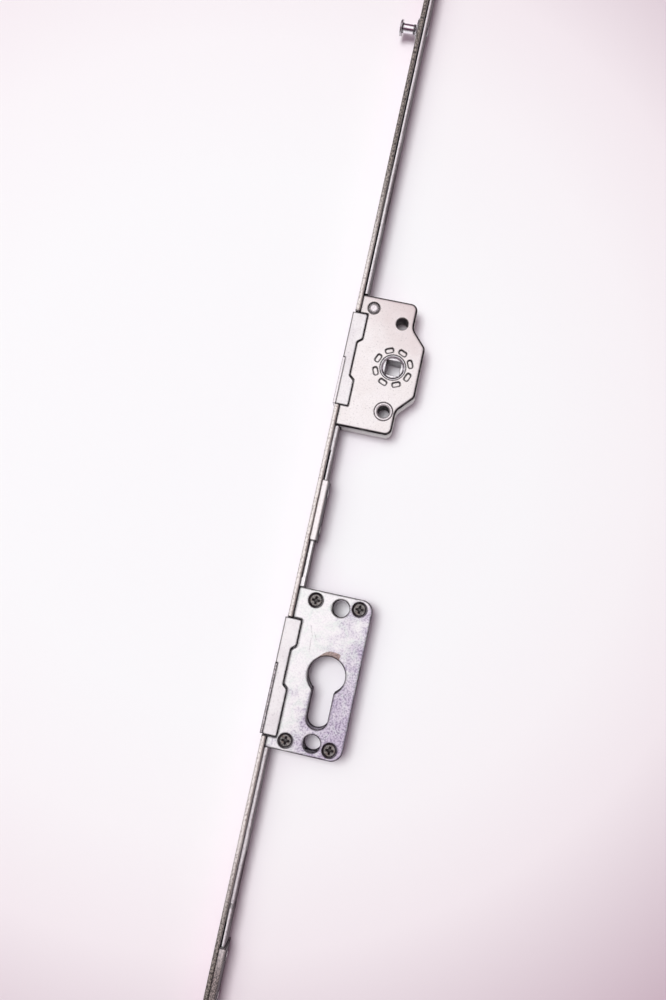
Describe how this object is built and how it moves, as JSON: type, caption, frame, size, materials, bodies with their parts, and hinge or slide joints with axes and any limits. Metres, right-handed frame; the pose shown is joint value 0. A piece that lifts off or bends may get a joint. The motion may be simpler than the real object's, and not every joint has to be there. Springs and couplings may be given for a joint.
{
  "type": "cremone bolt",
  "caption": "Cremone bolt for a door or window edge: slotted faceplate bar, sliding rod with roller cam, rack and pinion handle gearbox and a lock case for a profile cylinder.",
  "frame": {"origin": "on the spindle axis of the handle gearbox, halfway through the case's thickness", "axes": "+Z along the spindle axis, out of the covers with the screws; +Y along the bar from the cylinder towards the gearbox and cam; +X from the faceplate's front into the sash"},
  "size_m": [0.0469, 0.602, 0.016],
  "materials": {
    "faceplate_steel": "zinc plated, sheared long edges",
    "rod_steel": "zinc plated, bright rolled",
    "guide_steel": "zinc plated pressing",
    "rivet_steel": "zinc plated",
    "cam_steel": "bright plated, turned",
    "gearbox_sheet": "zinc plated, pale warm passivation",
    "bushing_steel": "zinc plated, turned",
    "saddle_sheet": "zinc plated pressing, sheared edges",
    "follower_metal": "plated sintered steel",
    "rack_steel": "greased, machined",
    "spring_steel": "hardened strip",
    "lock_sheet": "zinc plated, blue and violet passivation",
    "post_steel": "zinc plated, turned",
    "screw_steel": "dark plated, cross recess",
    "slide_steel": "greased, punched"
  },
  "bodies": {
    "chassis": {"faceplate": "faceplate_steel", "rod_guide_upper": "guide_steel", "rod_guide_lower": "guide_steel", "guide_rivets": "rivet_steel", "gearbox_case": "gearbox_sheet", "gearbox_cover": "gearbox_sheet", "gearbox_rivet": "rivet_steel", "handle_bushing_lower": "bushing_steel", "handle_bushing_upper": "bushing_steel", "gearbox_saddle_top": "saddle_sheet", "gearbox_saddle_bottom": "saddle_sheet", "gearbox_detent_spring": "spring_steel", "lock_case": "lock_sheet", "lock_cover": "lock_sheet", "lock_posts": "post_steel", "lock_screws": "screw_steel", "lock_guide_pins": "post_steel", "lock_detent_spring": "spring_steel", "lock_saddle_top": "saddle_sheet", "lock_saddle_bottom": "saddle_sheet"},
    "rod_group": {"drive_rod": "rod_steel", "rack": "rack_steel", "rack_rivets": "rivet_steel", "cam_stud": "cam_steel", "cam_washer": "cam_steel"},
    "roller": {"cam_roller": "cam_steel"},
    "spindle_hub": {"follower": "follower_metal"},
    "blocking_slide": {"lock_slide": "slide_steel"}
  },
  "joints": [
    {"name": "rod_slide", "type": "slide", "parent": "chassis", "child": "rod_group", "axis": [0, 1, 0], "range_m": [0, 0.02748]},
    {"name": "spindle_turn", "type": "hinge", "parent": "chassis", "child": "spindle_hub", "pos_m": [0, 0, 0], "axis": [0, 0, -1], "range_deg": [0, 180], "deforming": ["gearbox_detent_spring"]},
    {"name": "roller_spin", "type": "hinge", "parent": "rod_group", "child": "roller", "pos_m": [-0.028, 0.1707, 0], "axis": [1, 0, 0], "continuous": true},
    {"name": "blocking_throw", "type": "slide", "parent": "chassis", "child": "blocking_slide", "axis": [-1, 0, 0], "range_m": [0, 0.005], "deforming": ["lock_detent_spring"]}
  ],
  "couplings": [
    {"joint": "spindle_turn", "follows": "rod_slide", "rad_per_m": 114.29}
  ]
}
